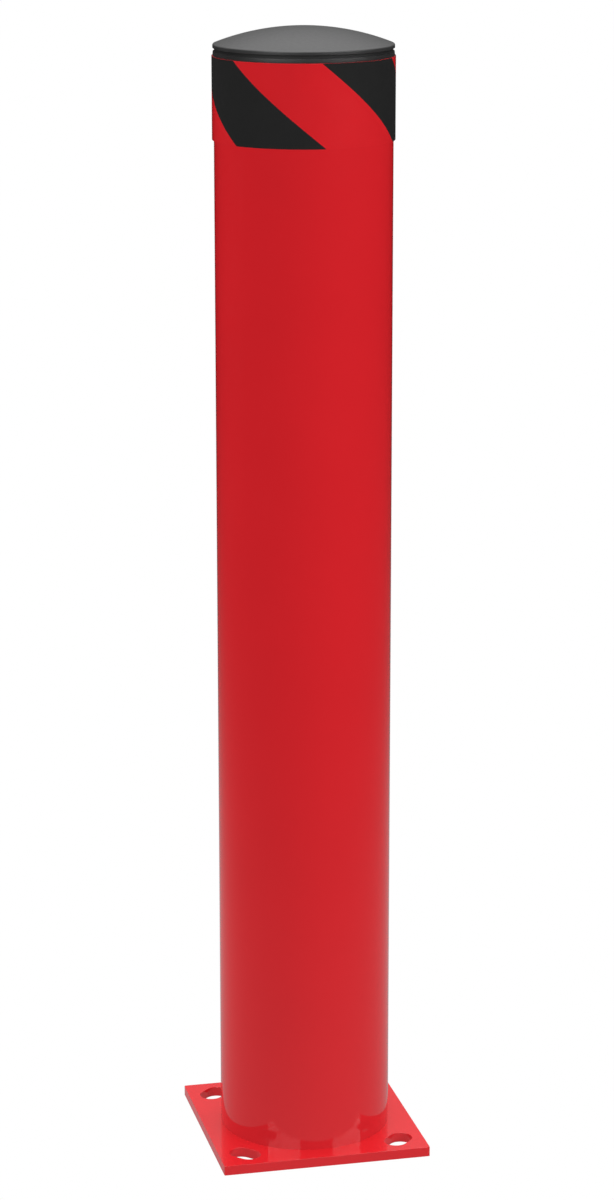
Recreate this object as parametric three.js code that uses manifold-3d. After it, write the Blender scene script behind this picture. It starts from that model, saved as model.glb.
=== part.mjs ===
// A surface-mounted safety bollard: a steel pipe welded upright on a square anchor plate, with a striped
// hazard sleeve round its top and a push-in moulded cap.
// Millimetres, +Z up. The origin is the middle of the plate's underside, and the plate's sides lie along X and Y.

import * as THREE from 'three';
import { mergeVertices } from 'three/addons/utils/BufferGeometryUtils.js';
import Module from 'manifold-3d';

const wasm = await Module();
wasm.setup();

// ---- Driving dimensions ----------------------------------------------------------------------------------

const INCH = 25.4;
const QUARTER_TURN = Math.PI / 2;
const ROUND_STEPS = 72; // flats round every turned piece
const CONTACT_GAP = 0.1; // between faces that rest on each other
const FIT_GAP = 0.3; // round a piece that sits in or over another

const plate = {
  side: 8 * INCH,
  thickness: 0.375 * INCH,
};

// The four anchor slots, each centred on a corner of a square and lying across the plate's diagonal.
const slot = {
  width: 0.875 * INCH,
  length: 1.25 * INCH,
  fromCentre: 3 * INCH,
  arcSteps: 10,
};

const pipe = {
  radius: 3.25 * INCH,
  wall: 0.1875 * INCH,
  length: 41 * INCH,
  footBevel: 4,
};

const sleeve = {
  radius: 84.3,
  height: 3 * INCH,
};

// Angles are measured round the axis from -Y towards +X.
const stripe = {
  count: 3,
  thickness: 0.5,
  span: Math.PI / 3,
  topAngle: THREE.MathUtils.degToRad(28.4), // middle of the first stripe at the sleeve's top edge
  lean: THREE.MathUtils.degToRad(62.7), // turn from the sleeve's top edge to its bottom edge
  topMargin: 0.55, // red left above each stripe
  sideGap: 0.5, // measured round the sleeve
  heightSteps: 14,
};

// Heights of the ring and the cap are above the end of the pipe.
const sealRing = {
  radius: 83.3,
  height: 4,
};

const cap = {
  apex: 26.35,
  domeRadius: 227,
  lipRadius: 83.4,
  lipUnderside: 7.1,
  lipRounding: 1.6,
  neckRadius: 81.7,
  wall: 3.2,
  skirtRadius: 76.6,
  skirtDepth: 38,
  skirtLeadIn: 2,
  finRadius: 77.35,
  finHeight: 2.4,
  finDepths: [30, 20, 10],
};

const pipeFoot = plate.thickness + CONTACT_GAP;
const pipeTop = plate.thickness + pipe.length;
const pipeBore = pipe.radius - pipe.wall;
const sleeveBottom = pipeTop - sleeve.height;

// ---- Materials -------------------------------------------------------------------------------------------

const redPaint = new THREE.MeshStandardMaterial({ color: 0xcf2026, roughness: 0.25, metalness: 0 });
const redVinyl = new THREE.MeshStandardMaterial({ color: 0xd0222a, roughness: 0.4, metalness: 0 });
const blackVinyl = new THREE.MeshStandardMaterial({ color: 0x242424, roughness: 0.55, metalness: 0 });
const greyPlastic = new THREE.MeshStandardMaterial({ color: 0x4c4d4f, roughness: 0.5, metalness: 0 });
const blackRubber = new THREE.MeshStandardMaterial({ color: 0x303031, roughness: 0.7, metalness: 0 });

// ---- Shape helpers ---------------------------------------------------------------------------------------

// Points along an arc in a turned profile, which is drawn in radius and height.
function arc(radius, height, size, from, to, steps) {
  return Array.from({ length: steps + 1 }, (_, i) => {
    const angle = THREE.MathUtils.lerp(from, to, i / steps);
    return [radius + size * Math.cos(angle), height + size * Math.sin(angle)];
  });
}

// Turns a profile of [radius, height] points about Z. The profile runs upwards on the solid's outside.
function turned(profile) {
  const points = profile.map(([radius, height]) => new THREE.Vector2(radius, height));
  return new THREE.LatheGeometry(points, ROUND_STEPS).rotateX(QUARTER_TURN);
}

// A ring of rectangular section.
function ring(inner, outer, low, high) {
  return turned([
    [inner, low],
    [outer, low],
    [outer, high],
    [inner, high],
    [inner, low],
  ]);
}

function toSolid(geometry) {
  const bare = geometry.clone();
  bare.deleteAttribute('normal');
  bare.deleteAttribute('uv');
  const merged = mergeVertices(bare);
  return new wasm.Manifold(
    new wasm.Mesh({
      numProp: 3,
      vertProperties: merged.getAttribute('position').array,
      triVerts: new Uint32Array(merged.index.array),
    }),
  );
}

function toGeometry(solid) {
  const mesh = solid.getMesh();
  const geometry = new THREE.BufferGeometry();
  geometry.setAttribute('position', new THREE.BufferAttribute(mesh.vertProperties, mesh.numProp));
  geometry.setIndex(new THREE.BufferAttribute(mesh.triVerts, 1));
  const flat = geometry.toNonIndexed();
  flat.computeVertexNormals();
  return flat;
}

function named(name, geometry, material) {
  const mesh = new THREE.Mesh(geometry, material);
  mesh.name = name;
  return mesh;
}

// ---- Base plate ------------------------------------------------------------------------------------------

// A slot with round ends, its length at `angle` to the X axis.
function slotOutline(x, y, angle) {
  const reach = (slot.length - slot.width) / 2;
  const dx = reach * Math.cos(angle);
  const dy = reach * Math.sin(angle);
  const outline = new THREE.Path();
  outline.absarc(x + dx, y + dy, slot.width / 2, angle - QUARTER_TURN, angle + QUARTER_TURN, false);
  outline.absarc(x - dx, y - dy, slot.width / 2, angle + QUARTER_TURN, angle + 3 * QUARTER_TURN, false);
  outline.closePath();
  return outline;
}

function basePlate() {
  const half = plate.side / 2;
  const outline = new THREE.Shape();
  outline.moveTo(-half, -half);
  outline.lineTo(half, -half);
  outline.lineTo(half, half);
  outline.lineTo(-half, half);
  outline.closePath();
  for (const sideX of [-1, 1]) {
    for (const sideY of [-1, 1]) {
      const angle = (-sideX * sideY * Math.PI) / 4;
      outline.holes.push(slotOutline(sideX * slot.fromCentre, sideY * slot.fromCentre, angle));
    }
  }
  const shape = { depth: plate.thickness, bevelEnabled: false, curveSegments: slot.arcSteps };
  return new THREE.ExtrudeGeometry(outline, shape);
}

// ---- Pipe and its weld -----------------------------------------------------------------------------------

// The foot of the pipe is bevelled on the outside, to take the weld.
function postTube() {
  return turned([
    [pipeBore, pipeFoot],
    [pipe.radius - pipe.footBevel, pipeFoot],
    [pipe.radius, pipeFoot + pipe.footBevel],
    [pipe.radius, pipeTop],
    [pipeBore, pipeTop],
    [pipeBore, pipeFoot],
  ]);
}

// The weld fills the bevel and is ground flush with the pipe.
function baseWeld() {
  const leg = pipe.footBevel - FIT_GAP * Math.SQRT2;
  return turned([
    [pipe.radius - leg, pipeFoot],
    [pipe.radius, pipeFoot],
    [pipe.radius, pipeFoot + leg],
    [pipe.radius - leg, pipeFoot],
  ]);
}

// ---- Hazard sleeve and its stripes -----------------------------------------------------------------------

// A block that winds round the axis as a stripe does, `grown` wider on each side.
function windingBlock(inner, outer, low, high, grown) {
  const span = stripe.span + (2 * grown) / sleeve.radius;
  const block = new THREE.BoxGeometry(span, high - low, outer - inner, 6, stripe.heightSteps, 1);
  const position = block.getAttribute('position');
  for (let i = 0; i < position.count; i++) {
    const height = position.getY(i) + (low + high) / 2;
    const radius = position.getZ(i) + (inner + outer) / 2;
    const turn = (stripe.lean * (pipeTop - height)) / sleeve.height;
    const angle = stripe.topAngle + turn + position.getX(i);
    position.setXYZ(i, radius * Math.sin(angle), -radius * Math.cos(angle), height);
  }
  return block;
}

// The part of a thin ring that a stripe covers. It is as deep as the sleeve's surface goes down to `inner`.
function stripeSolid(inner, outer, low, high, grown) {
  const spare = 5;
  const layer = toSolid(ring(inner, outer, low, high));
  const cutter = toSolid(windingBlock(inner - spare, outer + spare, low - spare, high + spare, grown));
  return layer.intersect(cutter);
}

// The stripes lie in shallow pockets that run out through the sleeve's bottom edge.
function hazardSleeve() {
  const pocketFloor = sleeve.radius - stripe.thickness - FIT_GAP;
  const pocketTop = pipeTop - stripe.topMargin + FIT_GAP;
  const past = 1;
  let solid = toSolid(ring(pipe.radius + FIT_GAP, sleeve.radius, sleeveBottom, pipeTop));
  for (let i = 0; i < stripe.count; i++) {
    const pocket = stripeSolid(
      pocketFloor,
      sleeve.radius + past,
      sleeveBottom - past,
      pocketTop,
      stripe.sideGap,
    );
    solid = solid.subtract(pocket.rotate([0, 0, (360 * i) / stripe.count]));
  }
  return toGeometry(solid);
}

function blackStripe() {
  const top = pipeTop - stripe.topMargin;
  return toGeometry(stripeSolid(sleeve.radius - stripe.thickness, sleeve.radius, sleeveBottom, top, 0));
}

// ---- Cap -------------------------------------------------------------------------------------------------

function capSealRing() {
  return ring(cap.skirtRadius + FIT_GAP, sealRing.radius, CONTACT_GAP, sealRing.height);
}

// One moulding: a domed top, a rounded lip, a narrow groove under the lip, and a skirt that pushes into
// the pipe. Barbed fins round the skirt grip the bore. It is open underneath.
function capDome() {
  const domeCentre = cap.apex - cap.domeRadius;
  const roundingRadius = cap.lipRadius - cap.lipRounding;
  const roundingReach = cap.domeRadius - cap.lipRounding;
  const roundingHeight = domeCentre + Math.sqrt(roundingReach ** 2 - roundingRadius ** 2);
  const domeEdge = Math.acos(roundingRadius / roundingReach);
  const innerDome = cap.domeRadius - cap.wall;
  const skirtBore = cap.skirtRadius - cap.wall;
  const innerEdge = Math.acos(skirtBore / innerDome);
  const shoulder = sealRing.height + CONTACT_GAP;
  const fins = cap.finDepths.flatMap((depth) => [
    [cap.skirtRadius, -depth - cap.finHeight],
    [cap.finRadius, -depth],
    [cap.skirtRadius, -depth],
  ]);
  return turned([
    ...arc(0, domeCentre, innerDome, QUARTER_TURN, innerEdge, 6),
    [skirtBore, -cap.skirtDepth],
    [cap.skirtRadius - cap.skirtLeadIn / 2, -cap.skirtDepth],
    [cap.skirtRadius, -cap.skirtDepth + cap.skirtLeadIn],
    ...fins,
    [cap.skirtRadius, shoulder],
    [cap.neckRadius, shoulder],
    [cap.neckRadius, cap.lipUnderside],
    [cap.lipRadius, cap.lipUnderside],
    ...arc(roundingRadius, roundingHeight, cap.lipRounding, 0, domeEdge, 4),
    ...arc(0, domeCentre, cap.domeRadius, domeEdge, QUARTER_TURN, 9).slice(1),
  ]);
}

// ---- Assembly --------------------------------------------------------------------------------------------

const post = new THREE.Group();
post.add(named('base_plate', basePlate(), redPaint));
post.add(named('base_weld', baseWeld(), redPaint));
post.add(named('post_tube', postTube(), redPaint));
post.add(named('hazard_sleeve', hazardSleeve(), redVinyl));
for (let i = 0; i < stripe.count; i++) {
  const mesh = named(`black_stripe_${i + 1}`, blackStripe(), blackVinyl);
  mesh.rotation.z = (2 * Math.PI * i) / stripe.count;
  post.add(mesh);
}

const capGroup = new THREE.Group();
capGroup.position.z = pipeTop;
capGroup.add(named('cap_seal_ring', capSealRing(), blackRubber));
capGroup.add(named('cap_dome', capDome(), greyPlastic));

const bollard = new THREE.Group();
bollard.add(post, capGroup);

export default bollard;
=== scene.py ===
# A surface-mounted safety bollard in a plain white studio: fine meshes, paint and plastics on the CAD frame.
# Metres, +Z up. Sizes come from the CAD nodes' boxes where a box gives them, and from the constants below.

import math

import bmesh
import bpy
from mathutils import Matrix, Vector


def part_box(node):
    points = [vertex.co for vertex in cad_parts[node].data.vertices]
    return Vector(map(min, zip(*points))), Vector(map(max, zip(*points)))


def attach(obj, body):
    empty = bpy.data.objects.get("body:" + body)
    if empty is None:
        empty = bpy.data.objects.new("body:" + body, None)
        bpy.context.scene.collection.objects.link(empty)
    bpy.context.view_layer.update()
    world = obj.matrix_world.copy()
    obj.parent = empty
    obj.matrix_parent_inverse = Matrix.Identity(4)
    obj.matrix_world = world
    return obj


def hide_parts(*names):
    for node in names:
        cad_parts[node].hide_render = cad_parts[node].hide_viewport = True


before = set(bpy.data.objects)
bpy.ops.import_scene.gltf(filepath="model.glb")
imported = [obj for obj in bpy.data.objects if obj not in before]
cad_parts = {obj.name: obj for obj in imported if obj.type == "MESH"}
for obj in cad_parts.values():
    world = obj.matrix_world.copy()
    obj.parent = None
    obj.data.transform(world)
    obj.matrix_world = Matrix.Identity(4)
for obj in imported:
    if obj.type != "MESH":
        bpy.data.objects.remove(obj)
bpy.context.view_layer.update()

MM = 0.001
TURN = 2 * math.pi
QUARTER = math.pi / 2
TINY = 1e-9  # lengths below this count as nothing
MERGE_DISTANCE = 1e-7

# ---- Sizes taken from the frame --------------------------------------------------------------------------

_, plate_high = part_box("base_plate")
_, tube_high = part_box("post_tube")
sleeve_low, sleeve_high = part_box("hazard_sleeve")
_, ring_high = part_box("cap_seal_ring")
cap_low, cap_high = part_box("cap_dome")

PLATE_HALF = plate_high.x
PLATE_TOP = plate_high.z
PIPE_RADIUS = tube_high.x
PIPE_TOP = tube_high.z
SLEEVE_RADIUS = sleeve_high.x
SLEEVE_BOTTOM = sleeve_low.z
SLEEVE_HEIGHT = PIPE_TOP - SLEEVE_BOTTOM
RING_RADIUS = ring_high.x
RING_TOP = ring_high.z
LIP_RADIUS = cap_high.x
CAP_APEX = cap_high.z
SKIRT_BOTTOM = cap_low.z

# ---- Sizes that no box gives -----------------------------------------------------------------------------

SLOT_FROM_CENTRE = 76.2 * MM
SLOT_RADIUS = 11.1125 * MM
SLOT_REACH = 4.7625 * MM  # from a slot's middle to the centre of either round end
PLATE_CORNER = 0.8 * MM
PLATE_EDGE = 0.25 * MM
RIM_ANGLE = 1  # in radians: the plate's edges that turn more than this are eased

ROUND_STEPS = 240  # flats round every turned piece
SHARP_ANGLE = math.radians(35)  # edges that turn more than this stay crisp

PIPE_WALL = 4.7625 * MM
PIPE_END_ROUNDING = 0.4 * MM
PAINT_IN_BORE = 1 * MM  # how far the paint reaches into the pipe
FOOT_BEVEL = 4 * MM

STRIPES = 3
STRIPE_SPAN = TURN / 6
STRIPE_TOP_ANGLE = math.radians(28.4)
STRIPE_LEAN = math.radians(62.7)
STRIPE_THICKNESS = 0.5 * MM
STRIPE_FIT = 0.98  # a stripe's thickness over its pocket's depth
STRIPE_TOP_MARGIN = 0.1 * MM
POCKET_WALL = 0.02 * MM  # width of a pocket's slanting side
SLEEVE_CLEARANCE = 0.02 * MM  # between the pipe and the sleeve
SLEEVE_TOP_ROUNDING = 0.08 * MM
SLEEVE_BOTTOM_ROUNDING = 0.1 * MM
SLEEVE_ROWS = 30  # of faces up its side

DOME_RADIUS = 227 * MM
LIP_ROUNDING = 1.6 * MM
LIP_UNDERSIDE = PIPE_TOP + 7.1 * MM
NECK_RADIUS = 81.7 * MM
LIP_CORNER = 0.3 * MM
CAP_WALL = 3.2 * MM
SKIRT_RADIUS = 76.6 * MM
SKIRT_ROUNDING = 0.6 * MM
SKIRT_LEAD_IN = 2 * MM
RING_CLEARANCE = 0.3 * MM  # between the skirt and the seal ring
FIN_RADIUS = 77.35 * MM
FIN_HEIGHT = 2.4 * MM
FIN_DEPTHS = (30 * MM, 20 * MM, 10 * MM)


# ---- Node helpers ----------------------------------------------------------------------------------------


def new_material(name):
    material = bpy.data.materials.new(name)
    material.use_nodes = True
    tree = material.node_tree
    shader = next(node for node in tree.nodes if node.type == "BSDF_PRINCIPLED")
    return material, tree, shader


def noise(tree, scale, detail=3.0, roughness=0.5):
    """Noise in the row frame, `scale` features to the metre."""
    place = tree.nodes.new("ShaderNodeTexCoord")
    texture = tree.nodes.new("ShaderNodeTexNoise")
    texture.inputs["Scale"].default_value = scale
    texture.inputs["Detail"].default_value = detail
    texture.inputs["Roughness"].default_value = roughness
    tree.links.new(place.outputs["Object"], texture.inputs["Vector"])
    return texture.outputs["Fac"]


def mapped(tree, value, low, high, from_low=0.3, from_high=0.7):
    """`value` stretched from one range to another, and kept within it."""
    node = tree.nodes.new("ShaderNodeMapRange")
    node.inputs["From Min"].default_value = from_low
    node.inputs["From Max"].default_value = from_high
    node.inputs["To Min"].default_value = low
    node.inputs["To Max"].default_value = high
    tree.links.new(value, node.inputs["Value"])
    return node.outputs["Result"]


def between(tree, factor, first, second):
    """The colour `factor` of the way from first to second."""
    node = tree.nodes.new("ShaderNodeMix")
    node.data_type = "RGBA"
    node.inputs["A"].default_value = (*first, 1)
    node.inputs["B"].default_value = (*second, 1)
    tree.links.new(factor, node.inputs["Factor"])
    return node.outputs["Result"]


def bump(tree, height, depth, strength):
    node = tree.nodes.new("ShaderNodeBump")
    node.inputs["Strength"].default_value = strength
    node.inputs["Distance"].default_value = depth
    tree.links.new(height, node.inputs["Height"])
    return node.outputs["Normal"]


def computed(tree, operation, value, number):
    """What a math operation makes of a socket's value and a fixed number."""
    node = tree.nodes.new("ShaderNodeMath")
    node.operation = operation
    node.inputs[1].default_value = number
    tree.links.new(value, node.inputs[0])
    return node.outputs["Value"]


def mixed_shader(tree, share, first, second):
    """The shader `share` of the way from first to second."""
    node = tree.nodes.new("ShaderNodeMixShader")
    tree.links.new(share, node.inputs["Fac"])
    tree.links.new(first, node.inputs[1])
    tree.links.new(second, node.inputs[2])
    return node.outputs["Shader"]


def scaled(colour, by):
    return tuple(channel * by for channel in colour)


# ---- Materials -------------------------------------------------------------------------------------------

SAFETY_RED = (0.672, 0.0164, 0.0224)


def gloss_paint():
    """Red gloss enamel with faint orange peel, whose colour and gloss drift slightly."""
    material, tree, shader = new_material("red_gloss_paint")
    drift = mapped(tree, noise(tree, 9, 2), 0, 1)
    colour = between(tree, drift, scaled(SAFETY_RED, 0.985), scaled(SAFETY_RED, 1.015))
    tree.links.new(colour, shader.inputs["Base Color"])
    tree.links.new(mapped(tree, noise(tree, 40, 3), 0.035, 0.06), shader.inputs["Roughness"])
    peel = bump(tree, noise(tree, 260, 2), 0.02 * MM, 0.25)
    tree.links.new(peel, shader.inputs["Normal"])
    shader.inputs["IOR"].default_value = 1.5
    return material


def bare_steel():
    """The pipe's unpainted bore: dull mill scale with patches of rust."""
    material, tree, shader = new_material("bare_pipe_bore")
    scale_spots = mapped(tree, noise(tree, 60, 5, 0.6), 0, 1, 0.45, 0.65)
    colour = between(tree, scale_spots, (0.10, 0.10, 0.105), (0.16, 0.115, 0.085))
    tree.links.new(colour, shader.inputs["Base Color"])
    tree.links.new(mapped(tree, noise(tree, 120, 4), 0.45, 0.7), shader.inputs["Roughness"])
    tree.links.new(bump(tree, noise(tree, 500, 4), 0.05 * MM, 0.4), shader.inputs["Normal"])
    shader.inputs["Metallic"].default_value = 0.6
    return material


def red_vinyl():
    """The sleeve's smooth satin PVC."""
    material, tree, shader = new_material("red_satin_vinyl")
    drift = mapped(tree, noise(tree, 25, 3), 0, 1)
    colour = between(tree, drift, scaled(SAFETY_RED, 0.98), scaled(SAFETY_RED, 1.02))
    tree.links.new(colour, shader.inputs["Base Color"])
    tree.links.new(mapped(tree, noise(tree, 90, 3), 0.06, 0.10), shader.inputs["Roughness"])
    tree.links.new(bump(tree, noise(tree, 700, 2), 0.01 * MM, 0.3), shader.inputs["Normal"])
    shader.inputs["IOR"].default_value = 1.46
    return material


def black_vinyl():
    """The stripes' matt black film, with the fine texture of printed tape."""
    material, tree, shader = new_material("black_matt_vinyl")
    tone = mapped(tree, noise(tree, 60, 4), 0, 1)
    colour = between(tree, tone, (0.0148, 0.0148, 0.0148), (0.0160, 0.0160, 0.0159))
    tree.links.new(colour, shader.inputs["Base Color"])
    tree.links.new(mapped(tree, noise(tree, 150, 4), 0.6, 0.7), shader.inputs["Roughness"])
    tree.links.new(bump(tree, noise(tree, 1400, 2), 0.01 * MM, 0.4), shader.inputs["Normal"])
    shader.inputs["IOR"].default_value = 1.15
    return material


def moulded_plastic(name, shade=1, roughness=0.37):
    """The cap's dark grey plastic, with the fine spark-eroded grain of its mould."""
    material, tree, shader = new_material(name)
    tone = mapped(tree, noise(tree, 35, 4), 0, 1)
    # shade under 1 darkens the colour: painted shade, which the neck gets in the groove under the lip
    low, high = scaled((0.0295, 0.0295, 0.0298), shade), scaled((0.0325, 0.0325, 0.0328), shade)
    tree.links.new(between(tree, tone, low, high), shader.inputs["Base Color"])
    gloss = mapped(tree, noise(tree, 300, 3), roughness - 0.03, roughness + 0.03)
    tree.links.new(gloss, shader.inputs["Roughness"])
    grain = bump(tree, noise(tree, 1800, 3, 0.6), 0.03 * MM, 0.5)
    tree.links.new(grain, shader.inputs["Normal"])
    shader.inputs["IOR"].default_value = 1.5
    return material


def rubber():
    """The seal ring's matt black rubber."""
    material, tree, shader = new_material("seal_ring_rubber")
    bloom = mapped(tree, noise(tree, 70, 4), 0, 1)
    colour = between(tree, bloom, (0.0165, 0.0165, 0.0167), (0.0190, 0.0190, 0.0190))
    tree.links.new(colour, shader.inputs["Base Color"])
    tree.links.new(mapped(tree, noise(tree, 200, 3), 0.40, 0.48), shader.inputs["Roughness"])
    tree.links.new(bump(tree, noise(tree, 900, 3), 0.02 * MM, 0.4), shader.inputs["Normal"])
    return material


# ---- Mesh helpers ----------------------------------------------------------------------------------------


def piece_from_mesh(mesh, materials):
    """A smooth piece of the mesh's name, whose large flat faces still look flat beside rounded edges."""
    for material in materials:
        mesh.materials.append(material)
    mesh.shade_smooth()
    piece = bpy.data.objects.new(mesh.name, mesh)
    bpy.context.scene.collection.objects.link(piece)
    weighted = piece.modifiers.new("flat_faces", "WEIGHTED_NORMAL")
    weighted.keep_sharp = True
    return piece


def new_piece(name, vertices, faces, materials):
    """A piece that is smooth but for its sharp edges."""
    mesh = bpy.data.meshes.new(name)
    mesh.from_pydata(vertices, [], faces)
    mesh.validate()
    piece = piece_from_mesh(mesh, materials)
    mesh.set_sharp_from_angle(angle=SHARP_ANGLE)
    return piece


def bridge(here, there, size):
    """Quads between two closed loops of `size` vertices, whose first vertices are here and there."""
    pairs = [(i, (i + 1) % size) for i in range(size)]
    return [(here + i, there + i, there + j, here + j) for i, j in pairs]


def arc(radius, height, size, start, end, steps):
    """Points [radius, height] along an arc, from the angle start to end."""
    angles = [start + (end - start) * i / steps for i in range(steps + 1)]
    return [(radius + size * math.cos(a), height + size * math.sin(a)) for a in angles]


def rounded(corners, steps=5):
    """A closed outline from (radius, height, rounding) corners, each replaced by an arc of its rounding."""
    points = []
    for i, (x, y, size) in enumerate(corners):
        here = Vector((x, y))
        if not size:
            points.append((x, y))
            continue
        before = (Vector(corners[i - 1][:2]) - here).normalized()
        after = (Vector(corners[(i + 1) % len(corners)][:2]) - here).normalized()
        half = before.angle(after) / 2
        reach = size / math.tan(half)
        centre = here + (before + after).normalized() * size / math.sin(half)
        first = here + before * reach - centre
        last = here + after * reach - centre
        sweep = first.angle_signed(last)
        for k in range(steps + 1):
            # angle_signed counts clockwise turns as positive
            spoke = Matrix.Rotation(-sweep * k / steps, 2) @ first
            points.append(tuple(centre + spoke))
    return points


def turned(name, profile, materials, closed=True):
    """A profile of (radius, height) points turned about Z. It runs upwards on the outside.
    A closed profile is a ring's section; an open one starts and ends on the axis."""
    vertices, faces, rows = [], [], []
    for radius, height in profile:
        count = ROUND_STEPS if radius > TINY else 1
        rows.append((len(vertices), count))
        for i in range(count):
            angle = TURN * i / ROUND_STEPS
            vertices.append((radius * math.sin(angle), -radius * math.cos(angle), height))
    pairs = list(zip(rows, rows[1:] + rows[:1])) if closed else list(zip(rows, rows[1:]))
    for (low, low_count), (high, high_count) in pairs:
        for i in range(ROUND_STEPS):
            j = (i + 1) % ROUND_STEPS
            face = [low + i % low_count, low + j % low_count, high + j % high_count, high + i % high_count]
            # a row on the axis has one vertex, which leaves a triangle
            faces.append(list(dict.fromkeys(face)))
    return new_piece(name, vertices, faces, materials)


# ---- Base plate ------------------------------------------------------------------------------------------


def slot_reach(angle):
    """From the middle of a slot to its wall, at `angle` to the slot's length."""
    along, across = abs(math.cos(angle)), abs(math.sin(angle))
    if across * SLOT_REACH >= along * SLOT_RADIUS:
        return SLOT_RADIUS / across
    offset = SLOT_REACH * along
    return offset + math.sqrt(offset**2 - SLOT_REACH**2 + SLOT_RADIUS**2)


def plate_quarter(side_x, side_y):
    """One quarter of the plate from above, as two matching loops: the quarter's square, and its slot.
    The quarter's outer corner is rounded."""
    half = PLATE_HALF
    steps = 36  # to each side of the square
    square = []
    for (x0, y0), (x1, y1) in (((0, 0), (1, 0)), ((1, 0), (1, 1)), ((1, 1), (0, 1)), ((0, 1), (0, 0))):
        for i in range(steps):
            share = i / steps
            square.append(Vector((x0 + (x1 - x0) * share, y0 + (y1 - y0) * share)) * half)
    middle = Vector((SLOT_FROM_CENTRE, SLOT_FROM_CENTRE))
    slot_direction = math.radians(135)
    slot = []
    for point in square:
        spoke = point - middle
        angle = math.atan2(spoke.y, spoke.x)
        slot.append(middle + spoke.normalized() * slot_reach(angle - slot_direction))
    centre = half - PLATE_CORNER
    for i, point in enumerate(square):
        inside = Vector((point.x - centre, point.y - centre))
        if min(inside) > -TINY:
            square[i] = Vector((centre, centre)) + inside.normalized() * PLATE_CORNER
    mirror = Vector((side_x, side_y))
    return [p * mirror for p in square], [p * mirror for p in slot]


def on_seam(first, second):
    """Whether two vertices lie on the same line between the plate's quarters."""
    return any(abs(first.co[axis]) < TINY and abs(second.co[axis]) < TINY for axis in (0, 1))


def join_loops(mesh, first, second, leave_seams=False):
    """Quads between two loops of as many vertices, but for those on a seam if leave_seams is set."""
    for i in range(len(first)):
        j = (i + 1) % len(first)
        if not (leave_seams and on_seam(first[i], first[j])):
            mesh.faces.new((first[i], first[j], second[j], second[i]))


def plate_mesh():
    """All four quarters with their slots, as a thin slab of quads."""
    mesh = bmesh.new()
    for side_x in (-1, 1):
        for side_y in (-1, 1):
            square, slot = plate_quarter(side_x, side_y)
            outlines = [square, [a.lerp(b, 0.5) for a, b in zip(square, slot)], slot]
            layers = []
            for height in (0, PLATE_TOP):
                layers.append([[mesh.verts.new((*p, height)) for p in outline] for outline in outlines])
            for loops in layers:
                for outer, inner in zip(loops, loops[1:]):
                    join_loops(mesh, outer, inner)
            bottom, top = layers
            join_loops(mesh, bottom[0], top[0], leave_seams=True)
            join_loops(mesh, bottom[-1], top[-1])
    bmesh.ops.remove_doubles(mesh, verts=mesh.verts, dist=MERGE_DISTANCE)
    bmesh.ops.recalc_face_normals(mesh, faces=mesh.faces)
    return mesh


def base_plate(paint):
    mesh = plate_mesh()
    rims = [edge for edge in mesh.edges if len(edge.link_faces) == 2 and edge.calc_face_angle() > RIM_ANGLE]
    bmesh.ops.bevel(mesh, geom=rims, offset=PLATE_EDGE, segments=3, profile=0.5, affect="EDGES")
    data = bpy.data.meshes.new("base_plate_painted")
    mesh.to_mesh(data)
    mesh.free()
    return piece_from_mesh(data, [paint])


# ---- Pipe and weld ---------------------------------------------------------------------------------------


def post_tube(paint, bore):
    inner = PIPE_RADIUS - PIPE_WALL
    foot = PLATE_TOP
    profile = rounded(
        [
            (inner, foot, 0),
            (PIPE_RADIUS - FOOT_BEVEL, foot, 0),
            (PIPE_RADIUS, foot + FOOT_BEVEL, 0),
            (PIPE_RADIUS, PIPE_TOP, PIPE_END_ROUNDING),
            (inner, PIPE_TOP, PIPE_END_ROUNDING),
        ]
    )
    piece = turned("post_tube_painted", profile, [paint, bore])
    for face in piece.data.polygons:
        faces_axis = face.center.to_2d().dot(face.normal.to_2d()) < -1e-6
        if faces_axis and face.center.z < PIPE_TOP - PAINT_IN_BORE:
            face.material_index = 1
    return piece


def base_weld(paint):
    """The weld's section fills the bevel at the pipe's foot and ends flush with the pipe."""
    profile = [
        (PIPE_RADIUS - FOOT_BEVEL, PLATE_TOP),
        (PIPE_RADIUS, PLATE_TOP),
        (PIPE_RADIUS, PLATE_TOP + FOOT_BEVEL),
    ]
    return turned("base_weld_painted", profile, [paint])


# ---- Hazard sleeve and stripes ---------------------------------------------------------------------------


def outer_side(depth):
    """The sleeve's outer side from its rounded bottom edge to the top of the stripes, `depth` under its
    surface, as (radius, height) points."""
    low = arc(
        SLEEVE_RADIUS - depth - SLEEVE_BOTTOM_ROUNDING,
        SLEEVE_BOTTOM + SLEEVE_BOTTOM_ROUNDING,
        SLEEVE_BOTTOM_ROUNDING,
        -QUARTER,
        0,
        3,
    )
    top = PIPE_TOP - STRIPE_TOP_MARGIN
    start = SLEEVE_BOTTOM + SLEEVE_BOTTOM_ROUNDING
    heights = [start + (top - start) * i / SLEEVE_ROWS for i in range(1, SLEEVE_ROWS + 1)]
    return low + [(SLEEVE_RADIUS - depth, height) for height in heights]


def wound(radius, angle, height):
    """A point whose angle turns with height as the stripes do."""
    turn = angle + STRIPE_LEAN * (PIPE_TOP - height) / SLEEVE_HEIGHT
    return radius * math.sin(turn), -radius * math.cos(turn), height


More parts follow.
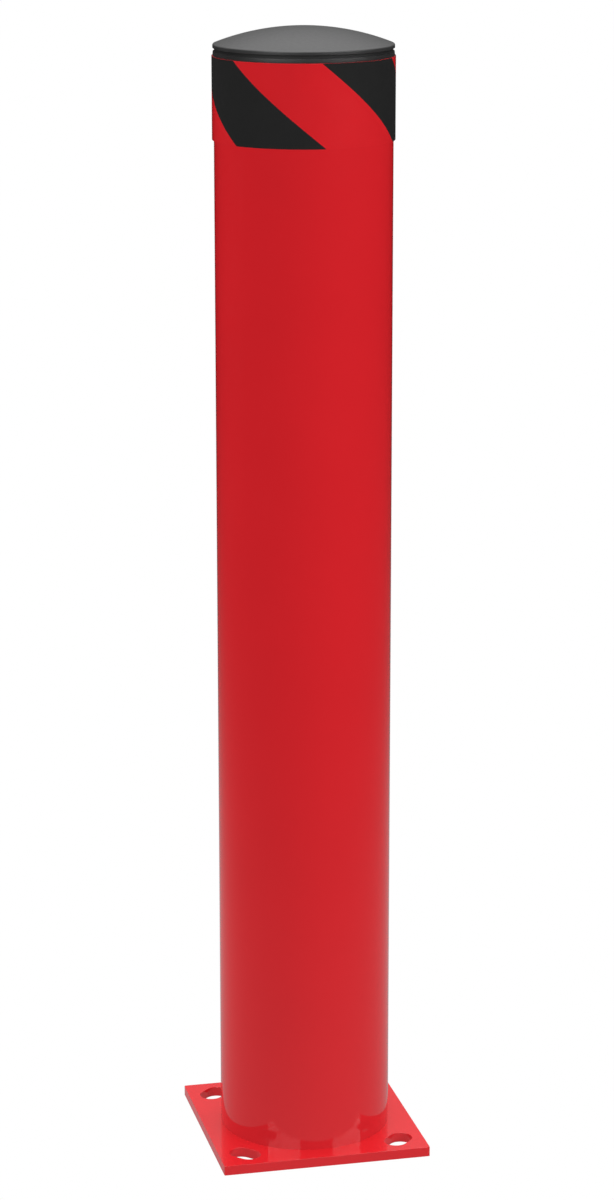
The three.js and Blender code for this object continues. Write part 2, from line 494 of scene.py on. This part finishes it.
def hazard_sleeve(vinyl):
    """The sleeve's section goes round its axis, and is shallower where a stripe lies in its pocket."""
    inner = PIPE_RADIUS + SLEEVE_CLEARANCE
    edge = POCKET_WALL / SLEEVE_RADIUS
    steps = 24
    top_arc = arc(
        SLEEVE_RADIUS - SLEEVE_TOP_ROUNDING,
        PIPE_TOP - SLEEVE_TOP_ROUNDING,
        SLEEVE_TOP_ROUNDING,
        0,
        QUARTER,
        4,
    )
    bore = [(inner, PIPE_TOP + (SLEEVE_BOTTOM - PIPE_TOP) * i / SLEEVE_ROWS) for i in range(SLEEVE_ROWS + 1)]
    columns = []
    for k in range(STRIPES):
        middle = STRIPE_TOP_ANGLE + TURN * k / STRIPES
        pocket = [middle - STRIPE_SPAN / 2 + STRIPE_SPAN * i / steps for i in range(steps + 1)]
        gap = TURN / STRIPES - STRIPE_SPAN
        land = [middle + STRIPE_SPAN / 2 + edge + (gap - 2 * edge) * i / steps for i in range(steps + 1)]
        columns += [(angle, True) for angle in pocket] + [(angle, False) for angle in land]
    vertices, faces = [], []
    for angle, in_pocket in columns:
        side = outer_side(STRIPE_THICKNESS if in_pocket else 0)
        section = side + top_arc + bore
        vertices += [wound(radius, angle, height) for radius, height in section]
    size = len(vertices) // len(columns)
    for c in range(len(columns)):
        faces += bridge(c * size, (c + 1) % len(columns) * size, size)
    return new_piece("hazard_sleeve_vinyl", vertices, faces, [vinyl])


def black_stripe(index, film):
    """A film that lies in its pocket, flush with the sleeve."""
    steps = 30
    middle = STRIPE_TOP_ANGLE + TURN * index / STRIPES
    section = outer_side(0) + outer_side(STRIPE_THICKNESS * STRIPE_FIT)[::-1]
    size = len(section)
    vertices, faces = [], []
    for c in range(steps + 1):
        angle = middle - STRIPE_SPAN / 2 + STRIPE_SPAN * c / steps
        vertices += [wound(radius, angle, height) for radius, height in section]
    for c in range(steps):
        faces += bridge(c * size, (c + 1) * size, size)
    for i in range(size // 2 - 1):
        ends = (i, i + 1, size - 2 - i, size - 1 - i)
        faces.append(ends)
        faces.append(tuple(steps * size + n for n in reversed(ends)))
    return new_piece(f"black_stripe_{index + 1}_film", vertices, faces, [film])


# ---- Cap -------------------------------------------------------------------------------------------------


def cap_seal_ring(ring_rubber):
    """The ring leans inwards towards its top."""
    inner = SKIRT_RADIUS + RING_CLEARANCE
    foot = 0.3 * MM
    lean = math.radians(7)
    bulge = (RING_TOP - PIPE_TOP - foot) / math.sin(lean)
    profile = [(inner, PIPE_TOP), (RING_RADIUS - foot, PIPE_TOP)]
    profile += arc(RING_RADIUS - bulge, PIPE_TOP + foot, bulge, 0, lean, 10)
    profile.append((inner, RING_TOP))
    return turned("cap_seal_ring_rubber", profile, [ring_rubber])


def cap_dome(plastic, dull_plastic_painted_shade):
    """The dome, lip, neck and skirt are one moulding, open underneath. Its neck has a duller finish, and a
    darker colour that is painted shade in the groove under the lip.
    """
    centre = CAP_APEX - DOME_RADIUS
    lip_centre = LIP_RADIUS - LIP_ROUNDING
    reach = DOME_RADIUS - LIP_ROUNDING
    lip_height = centre + math.sqrt(reach**2 - lip_centre**2)
    dome_edge = math.acos(lip_centre / reach)
    skirt_bore = SKIRT_RADIUS - CAP_WALL
    inner_dome = DOME_RADIUS - CAP_WALL
    inner_edge = math.acos(skirt_bore / inner_dome)
    under = arc(0, centre, inner_dome, QUARTER, inner_edge, 16)
    fins = []
    for depth in FIN_DEPTHS:
        # the slope eases the cap in, and the flat top holds it
        tip = PIPE_TOP - depth
        fins += [
            (SKIRT_RADIUS, tip - FIN_HEIGHT, 0),
            (FIN_RADIUS, tip - 0.5 * MM, 0.2 * MM),
            (FIN_RADIUS - 0.2 * MM, tip, 0.1 * MM),
            (SKIRT_RADIUS, tip, 0),
        ]
    side = rounded(
        [
            (skirt_bore, PIPE_TOP - 10 * MM, 0),  # straight above the next corner
            (skirt_bore, SKIRT_BOTTOM, SKIRT_ROUNDING),
            (SKIRT_RADIUS - 1 * MM, SKIRT_BOTTOM, SKIRT_ROUNDING),
            (SKIRT_RADIUS, SKIRT_BOTTOM + SKIRT_LEAD_IN, SKIRT_ROUNDING),
            *fins,
            (SKIRT_RADIUS, RING_TOP, 0.1 * MM),
            (NECK_RADIUS, RING_TOP, 0.2 * MM),
            (NECK_RADIUS, LIP_UNDERSIDE, LIP_CORNER),
            (LIP_RADIUS, LIP_UNDERSIDE, LIP_CORNER),
            (LIP_RADIUS, lip_height, 0),
        ],
        steps=4,
    )
    lip = arc(lip_centre, lip_height, LIP_ROUNDING, 0, dome_edge, 6)[1:]
    dome = arc(0, centre, DOME_RADIUS, dome_edge, QUARTER, 24)[1:]
    # the first and last points lie exactly on the axis
    under[0] = (0.0, under[0][1])
    dome[-1] = (0.0, dome[-1][1])
    piece = turned("cap_dome_moulding", under + side + lip + dome, [plastic, dull_plastic_painted_shade], closed=False)
    # the neck's faces take the second plastic: a duller finish, and a darker colour that is painted shade in
    # the groove under the lip
    for face in piece.data.polygons:
        on_neck_painted_shade = RING_TOP + 0.1 * MM < face.center.z < LIP_UNDERSIDE
        if on_neck_painted_shade and face.center.to_2d().length > SKIRT_RADIUS:
            face.material_index = 1
    return piece


# ---- Studio ----------------------------------------------------------------------------------------------

# The camera looks at the post from a little to the left of its front, and from above.
CAMERA_AZIMUTH = math.radians(-12.886)
CAMERA_DISTANCE = 3.07
CAMERA_HEIGHT = 1.3307
CAMERA_PITCH = math.radians(-14.492)
CAMERA_TURN = math.radians(-0.059)
CAMERA_ROLL = math.radians(0.027)

LAMP_DISTANCE = 9.0

# (elevation in degrees, brightness) of the studio on the camera's side, and beyond the post
NEAR_LEVELS = ((0, 0.0), (6, 0.02), (22, 0.06), (35, 0.85), (48, 1.6), (70, 1.65))
FAR_LEVELS = ((0, 0.02), (6, 0.11), (23, 0.42), (35, 1.05), (48, 1.85), (70, 1.65))
BRIGHTEST = 2.0  # the ramps' colours are shares of this

FLOOR_HALF = 40.0
FLOOR_DROP = 0.3 * MM  # under the plate, so that the two don't share a plane
POOL_BEHIND = 0.45  # from the post to the middle of the pool of light, away from the camera
POOL_BRIGHTNESS = 0.45
POOL_SPREAD = 1.5


def round_from_camera(angle, distance, height):
    """A place round the post, at `angle` degrees from the camera's side, anticlockwise from above."""
    turn = CAMERA_AZIMUTH + math.radians(angle)
    return Vector((distance * math.sin(turn), -distance * math.cos(turn), height))


def make_camera():
    data = bpy.data.cameras.new("camera")
    data.lens = 100
    data.sensor_width = 36
    data.clip_end = 200
    camera = bpy.data.objects.new("camera", data)
    camera.location = round_from_camera(0, CAMERA_DISTANCE, CAMERA_HEIGHT)
    camera.rotation_euler = (QUARTER + CAMERA_PITCH, CAMERA_ROLL, CAMERA_AZIMUTH + CAMERA_TURN)
    bpy.context.scene.collection.objects.link(camera)
    bpy.context.scene.camera = camera


def soft_light(name, angle, elevation, wide, tall, radiance, matt=True, gloss=True):
    """A softbox that faces the post from far off, `wide` and `tall` degrees across. radiance is in watts per
    square metre and steradian. It can light matt surfaces, be reflected in glossy ones, or both."""
    distance = LAMP_DISTANCE
    target = Vector((0, 0, 0.5))
    tilt = math.radians(elevation)
    place = round_from_camera(angle, distance * math.cos(tilt), distance * math.sin(tilt)) + target
    data = bpy.data.lights.new(name, "AREA")
    data.shape = "RECTANGLE"
    data.size = 2 * distance * math.tan(math.radians(wide) / 2)
    data.size_y = 2 * distance * math.tan(math.radians(tall) / 2)
    data.energy = radiance * math.pi * data.size * data.size_y
    light = bpy.data.objects.new(name, data)
    light.location = place
    light.rotation_euler = (target - place).to_track_quat("-Z", "Y").to_euler()
    light.visible_camera = False
    light.visible_diffuse = matt
    light.visible_glossy = gloss
    bpy.context.scene.collection.objects.link(light)
    return light


def make_lights(clear_pieces):
    """Softboxes and fills for matt surfaces, and cards that only gloss reflects. The lamps' light passes
    through the clear pieces."""
    lights = [
        soft_light("softbox_left", -28.5, 20, 42, 11, 3.95, gloss=False),
        soft_light("softbox_right", 61, 20, 40, 12, 4.5, gloss=False),
        soft_light("card_left", -28.5, 21.5, 42, 8, 4.4, matt=False),
        soft_light("card_right", 61, 21.5, 40, 8, 4.6, matt=False),
        soft_light("low_card_left", -41, 11, 42, 12, 2.6, matt=False),
        soft_light("low_card_right", 49, 11, 42, 12, 2.6, matt=False),
        soft_light("card_top", 0, 70, 70, 60, 2.5, matt=False),
        soft_light("fill_back_left", -115, 8, 60, 40, 1.5, gloss=False),
        soft_light("fill_right", 60, 12, 60, 40, 0.75, gloss=False),
        soft_light("fill_back", 165, 38, 60, 40, 1.5, gloss=False),
    ]
    clear = bpy.data.collections.new("casts_no_shadow")
    for piece in clear_pieces:
        clear.objects.link(piece)
    for entry in clear.collection_objects:
        entry.light_linking.link_state = "EXCLUDE"
    for light in lights:
        light.light_linking.blocker_collection = clear


def ramp(tree, rise, levels):
    """A grey that follows (elevation, brightness) levels. rise is the sine of the elevation."""
    node = tree.nodes.new("ShaderNodeValToRGB")
    elements = node.color_ramp.elements
    for i, (elevation, level) in enumerate(levels):
        position = math.sin(math.radians(elevation))
        element = elements[i] if i < 2 else elements.new(position)  # a new ramp has two elements
        element.position = position
        element.color = (level / BRIGHTEST,) * 3 + (1,)
    tree.links.new(rise, node.inputs["Fac"])
    return node.outputs["Color"]


def make_world():
    """White to the camera. To everything else, a studio that is dark at the horizon and brighter towards the
    ceiling, which also lights matt surfaces evenly from below."""
    world = bpy.data.worlds.new("studio")
    world.use_nodes = True
    # the sky then lights matt surfaces by diffuse rays alone, which pass through the sleeve
    world.cycles.sampling_method = "NONE"
    bpy.context.scene.world = world
    tree = world.node_tree
    tree.nodes.clear()
    direction = tree.nodes.new("ShaderNodeTexCoord")
    split = tree.nodes.new("ShaderNodeSeparateXYZ")
    tree.links.new(direction.outputs["Generated"], split.inputs["Vector"])
    near, far = [ramp(tree, split.outputs["Z"], levels) for levels in (NEAR_LEVELS, FAR_LEVELS)]
    behind = tree.nodes.new("ShaderNodeVectorMath")
    behind.operation = "DOT_PRODUCT"
    behind.inputs[1].default_value = round_from_camera(180, 1, 0)
    tree.links.new(direction.outputs["Generated"], behind.inputs[0])
    blend = tree.nodes.new("ShaderNodeMix")
    blend.data_type = "RGBA"
    tree.links.new(mapped(tree, behind.outputs["Value"], 0, 1, 0.3, 0.75), blend.inputs["Factor"])
    tree.links.new(near, blend.inputs["A"])
    tree.links.new(far, blend.inputs["B"])
    ceiling = tree.nodes.new("ShaderNodeBackground")
    ceiling.inputs["Strength"].default_value = BRIGHTEST
    tree.links.new(blend.outputs["Result"], ceiling.inputs["Color"])
    below = tree.nodes.new("ShaderNodeBackground")
    below.inputs["Color"].default_value = (0.6, 0.6, 0.6, 1)
    white = tree.nodes.new("ShaderNodeBackground")
    white.inputs["Color"].default_value = (1, 1, 1, 1)
    path = tree.nodes.new("ShaderNodeLightPath")
    matt_below = tree.nodes.new("ShaderNodeMath")
    matt_below.operation = "SUBTRACT"
    matt_below.use_clamp = True
    tree.links.new(computed(tree, "LESS_THAN", split.outputs["Z"], 0), matt_below.inputs[0])
    tree.links.new(path.outputs["Is Glossy Ray"], matt_below.inputs[1])
    seen = ceiling.outputs["Background"]
    seen = mixed_shader(tree, matt_below.outputs["Value"], seen, below.outputs["Background"])
    seen = mixed_shader(tree, path.outputs["Is Camera Ray"], seen, white.outputs["Background"])
    output = tree.nodes.new("ShaderNodeOutputWorld")
    tree.links.new(seen, output.inputs["Surface"])


def make_floor():
    """A plain floor: white to the camera, and in reflections a pool of light round the post that fades away.
    Its underside is clear, so that it hides nothing from below."""
    size = FLOOR_HALF
    mesh = bpy.data.meshes.new("floor")
    corners = [(-size, -size, 0), (size, -size, 0), (size, size, 0), (-size, size, 0)]
    mesh.from_pydata(corners, [], [(0, 1, 2, 3)])
    floor = bpy.data.objects.new("floor", mesh)
    floor.location.z = -FLOOR_DROP
    material = bpy.data.materials.new("white_floor")
    material.use_nodes = True
    tree = material.node_tree
    tree.nodes.clear()
    place = tree.nodes.new("ShaderNodeTexCoord")
    distance = tree.nodes.new("ShaderNodeVectorMath")
    distance.operation = "DISTANCE"
    distance.inputs[1].default_value = round_from_camera(180, POOL_BEHIND, 0)
    tree.links.new(place.outputs["Object"], distance.inputs[0])
    # brightness / (1 + (distance / spread)^2)^2
    pool = computed(tree, "DIVIDE", distance.outputs["Value"], POOL_SPREAD)
    pool = computed(tree, "POWER", pool, 2)
    pool = computed(tree, "ADD", pool, 1)
    pool = computed(tree, "POWER", pool, -2)
    pool = computed(tree, "MULTIPLY", pool, POOL_BRIGHTNESS)
    path = tree.nodes.new("ShaderNodeLightPath")
    shade = tree.nodes.new("ShaderNodeMix")
    shade.data_type = "RGBA"
    shade.inputs["B"].default_value = (1, 1, 1, 1)
    tree.links.new(path.outputs["Is Camera Ray"], shade.inputs["Factor"])
    tree.links.new(pool, shade.inputs["A"])
    glow = tree.nodes.new("ShaderNodeEmission")
    tree.links.new(shade.outputs["Result"], glow.inputs["Color"])
    side = tree.nodes.new("ShaderNodeNewGeometry")
    clear = tree.nodes.new("ShaderNodeBsdfTransparent")
    surface = mixed_shader(tree, side.outputs["Backfacing"], glow.outputs["Emission"], clear.outputs["BSDF"])
    output = tree.nodes.new("ShaderNodeOutputMaterial")
    tree.links.new(surface, output.inputs["Surface"])
    mesh.materials.append(material)
    floor.visible_diffuse = False
    floor.visible_shadow = False
    bpy.context.scene.collection.objects.link(floor)


# ---- Assembly --------------------------------------------------------------------------------------------

make_camera()

paint = gloss_paint()
film = black_vinyl()
cap_plastic = moulded_plastic("grained_cap_plastic")
# the neck's plastic: rougher, and darker as painted shade in the groove under the lip
neck_plastic = moulded_plastic("dull_neck_plastic_painted_shade", shade=0.4, roughness=0.6)

plate = base_plate(paint)
pieces = [
    (plate, "post", "base_plate", "red_paint"),
    (base_weld(paint), "post", "base_weld", "red_paint"),
    (post_tube(paint, bare_steel()), "post", "post_tube", "red_paint"),
    (hazard_sleeve(red_vinyl()), "post", "hazard_sleeve", "red_vinyl"),
    (cap_seal_ring(rubber()), "cap", "cap_seal_ring", "seal_rubber"),
    (cap_dome(cap_plastic, neck_plastic), "cap", "cap_dome", "cap_plastic"),
]
for index in range(STRIPES):
    pieces.append((black_stripe(index, film), "post", f"black_stripe_{index + 1}", "black_vinyl"))

for piece, body, node, slot in pieces:
    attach(piece, body)
    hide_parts(node)

# Neither lamps nor sky light cast a shadow of the sleeve, whose thin lower edge would draw a line round the
# pipe. The plate throws no red light back at the pipe's foot.
sleeve_pieces = [piece for piece, _, _, slot in pieces if slot in ("red_vinyl", "black_vinyl")]
for piece in [*sleeve_pieces, plate]:
    piece.visible_diffuse = False

make_world()
make_lights(sleeve_pieces)
make_floor()
bpy.context.scene.view_settings.view_transform = "Standard"
